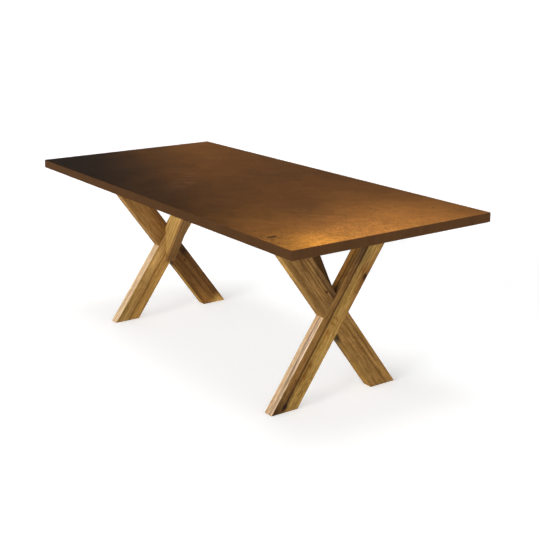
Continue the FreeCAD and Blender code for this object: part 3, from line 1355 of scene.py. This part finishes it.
@dataclass
class Fixings:
    """The dowels, pegs, bolts, washers and inserts that hold the table together, and the glides."""

    wood: Tone = Tone(196, 160, 112)
    zinc: Tone = Tone(176, 178, 182)
    insert: Tone = Tone(198, 176, 120)
    felt: Tone = Tone(58, 48, 40)

    def dress(self) -> None:
        """Finishes each kind of fixing."""
        strip = (Stave(2.0, self.wood),)
        turned = OakBeam("dowel_wood", (0.0, 0.0, 0.0), UNTURNED, GrainRun.ALONG_X, strip, 21.0).make()
        dress("crossing_dowels", turned)
        dress("tenon_pegs", turned)
        zinc = PlatedMetal("zinc_steel", self.zinc, 0.34).make()
        dress("top_bolts", zinc)
        dress("bolt_washers", zinc)
        dress("threaded_inserts", PlatedMetal("insert_metal", self.insert, 0.36).make())
        dress("foot_glides", SpeckledSheet("glide_felt", self.felt, 900.0, 0.9, 0.4).make())


@dataclass(frozen=True)
class Lamp:
    """A soft lamp far away: its bearing, height and width in degrees, its strength and its distance."""

    name: str
    azimuth: float
    height: float
    width: float
    strength: float
    distance: float = 6.0

    def hang(self) -> None:
        """Hangs the lamp, turned to the table."""
        round_by, up_by = math.radians(self.azimuth), math.radians(self.height)
        level = math.cos(up_by)
        towards = Vector((math.cos(round_by) * level, math.sin(round_by) * level, math.sin(up_by)))
        bpy.ops.object.light_add(type="SUN", location=towards * self.distance)
        lamp = bpy.context.active_object
        lamp.name = self.name
        lamp.rotation_euler = towards.to_track_quat("Z", "Y").to_euler()
        lamp.data.energy = self.strength
        lamp.data.angle = math.radians(self.width)


@dataclass
class Studio:
    """A pale floor, a white surround, soft lamps overhead and from the left, and the camera."""

    floor_size: float = 400.0
    floor_tone: Tone = Tone(252, 252, 252)
    floor_white: float = 0.15
    floor_glow: float = 3.07
    fill: float = 0.06
    horizon: float = 5.5
    horizon_fall: float = 4.0
    left_bias: float = 0.5
    lamps: tuple[Lamp, ...] = (
        Lamp("left_lamp", 280.0, 14.0, 30.0, 2.15),
        Lamp("overhead_lamp", 270.0, 87.0, 26.0, 0.6),
    )
    eye: Triple = (3.5675, -2.3023, 1.6118)
    sight: Triple = (-0.79777, 0.54952, -0.2482)
    roll: float = -0.006
    sensor: float = 36.0
    lens: float = 68.62
    shift: float = -0.07
    far: float = 1000.0

    def build(self) -> None:
        """Makes the floor, the surround, the lamps and the camera."""
        bpy.context.scene.view_settings.view_transform = "Standard"
        bpy.ops.object.select_all(action="DESELECT")
        self.lay_floor()
        self.light_surround()
        for lamp in self.lamps:
            lamp.hang()
        self.set_camera()

    def seen(self, bench: Bench) -> Reading:
        """Tells the rays that look at the background from those that light the table.

        Args:
            bench: The bench of the floor or the world.

        Returns:
            1 for what the camera, a reflection or a see-through surface shows, and 0 otherwise.
        """
        path = bench.add("ShaderNodeLightPath", {}, {})
        names = ("Is Camera Ray", "Is Glossy Ray", "Is Transmission Ray")
        camera, glossy, through = (Reading(bench, path.outputs[name]) for name in names)
        return (camera + glossy + through).at_most(1.0)

    def lay_floor(self) -> None:
        """Lays the floor, white to look at but with the table's soft shadow."""
        bpy.ops.mesh.primitive_plane_add(size=self.floor_size, location=(0.0, 0.0, 0.0))
        floor = bpy.context.active_object
        floor.name = "studio_floor"
        material, bench = new_bench("studio_floor")
        matt = bench.add("ShaderNodeBsdfDiffuse", {}, {"Color": self.floor_tone}).outputs[0]
        white = bench.add("ShaderNodeEmission", {}, {"Color": EVEN, "Strength": self.floor_glow}).outputs[0]
        share = self.seen(bench) * self.floor_white
        mixed = bench.add("ShaderNodeMixShader", {}, {0: share, 1: matt, 2: white})
        bench.add("ShaderNodeOutputMaterial", {}, {"Surface": mixed.outputs[0]})
        floor.data.materials.append(material)

    def light_surround(self) -> None:
        """Makes the surround white to look at. What lights the table is brightest low on the left."""
        world = bpy.data.worlds.new("studio")
        world.use_nodes = True
        bpy.context.scene.world = world
        bench = Bench(world.node_tree)
        _, right, height = bench.parts(bench.add("ShaderNodeTexCoord", {}, {}).outputs["Generated"])
        leaning = (1.0 - right * self.left_bias) / (1.0 + self.left_bias)
        low = (1.0 - height.at_least(0.0)) ** self.horizon_fall * leaning
        shades = []
        for level in (self.fill, self.fill + self.horizon * (1.0 + self.left_bias), 1.0):
            shade = bench.add("ShaderNodeBackground", {}, {"Color": EVEN, "Strength": level})
            shades.append(shade.outputs[0])
        lit = bench.add("ShaderNodeMixShader", {}, {0: low, 1: shades[0], 2: shades[1]}).outputs[0]
        mixed = bench.add("ShaderNodeMixShader", {}, {0: self.seen(bench), 1: lit, 2: shades[2]})
        bench.add("ShaderNodeOutputWorld", {}, {"Surface": mixed.outputs[0]})

    def set_camera(self) -> None:
        """Stands the camera where the photograph was taken from."""
        bpy.ops.object.camera_add(location=self.eye)
        camera = bpy.context.active_object
        camera.name = "camera"
        level = Vector(self.sight).to_track_quat("-Z", "Y")
        camera.rotation_euler = (level @ Quaternion((0.0, 0.0, 1.0), self.roll)).to_euler()
        camera.data.sensor_width = self.sensor
        camera.data.lens = self.lens
        camera.data.shift_y = self.shift
        camera.data.clip_end = self.far
        bpy.context.scene.camera = camera


def main() -> None:
    """Builds the studio and dresses the table, sub-assembly by sub-assembly."""
    logging.basicConfig(level=logging.INFO, format="%(message)s")
    Studio().build()
    TableTop().dress()
    front_frame().dress()
    rear_frame().dress()
    Bracing().dress()
    Fixings().dress()


if __name__ == "__main__":
    main()
